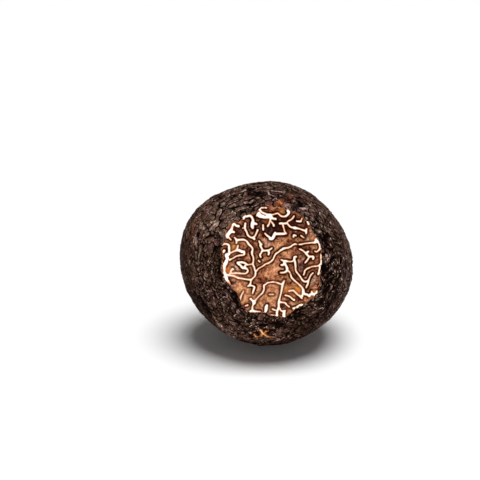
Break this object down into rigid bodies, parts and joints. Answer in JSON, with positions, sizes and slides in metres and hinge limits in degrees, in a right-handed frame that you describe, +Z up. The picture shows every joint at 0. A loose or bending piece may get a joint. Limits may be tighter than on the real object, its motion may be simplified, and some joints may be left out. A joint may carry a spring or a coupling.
{
  "type": "black truffle",
  "caption": "Whole black truffle with a slice taken off its front, showing marbled flesh; a warty, lobed ball that rests on a small flat spot.",
  "frame": {"origin": "middle of the truffle's bounding box in X and Y, on the ground it lies on", "axes": "+Z up, the cut face looks towards -Y and slightly up, +X to the right of a viewer who faces the cut"},
  "size_m": [0.0448, 0.0436, 0.0421],
  "materials": {
    "truffle": "dry, warty, near-black brown rind; the cut face is matt tan-brown flesh with cream veins"
  },
  "bodies": {
    "root": {"truffle": "truffle"}
  },
  "joints": []
}
